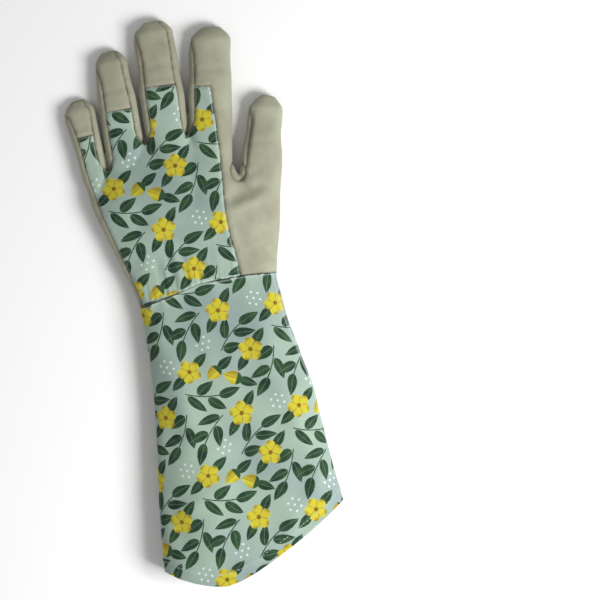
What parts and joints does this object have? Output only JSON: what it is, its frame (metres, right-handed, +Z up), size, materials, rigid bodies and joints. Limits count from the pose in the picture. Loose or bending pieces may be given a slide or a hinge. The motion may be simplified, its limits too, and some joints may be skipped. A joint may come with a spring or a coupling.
{
  "type": "rose pruning gauntlet",
  "caption": "Long gardening gauntlet for the left hand: soft leather palm, thumb and fingertips, printed cotton back of hand and a long flared printed cotton cuff.",
  "frame": {"origin": "on the table below the middle of the glove's bounding box", "axes": "+Y from the cuff towards the fingertips, +X towards the thumb side, +Z up out of the back of the hand"},
  "size_m": [0.164, 0.4348, 0.0349],
  "materials": {
    "printed_cotton": "matte woven cotton",
    "soft_leather": "matte soft grain"
  },
  "bodies": {
    "root": {"cuff": "printed_cotton", "cotton_back": "printed_cotton", "palm": "soft_leather", "thumb_back": "soft_leather", "thumb_front": "soft_leather", "thumb_web": "soft_leather", "ring_front": "soft_leather", "middle_front": "soft_leather", "little_tip_back": "soft_leather", "ring_tip_back": "soft_leather", "middle_tip_back": "soft_leather", "little_ring_strip": "soft_leather", "ring_middle_strip": "soft_leather", "middle_index_strip": "soft_leather"}
  },
  "joints": []
}
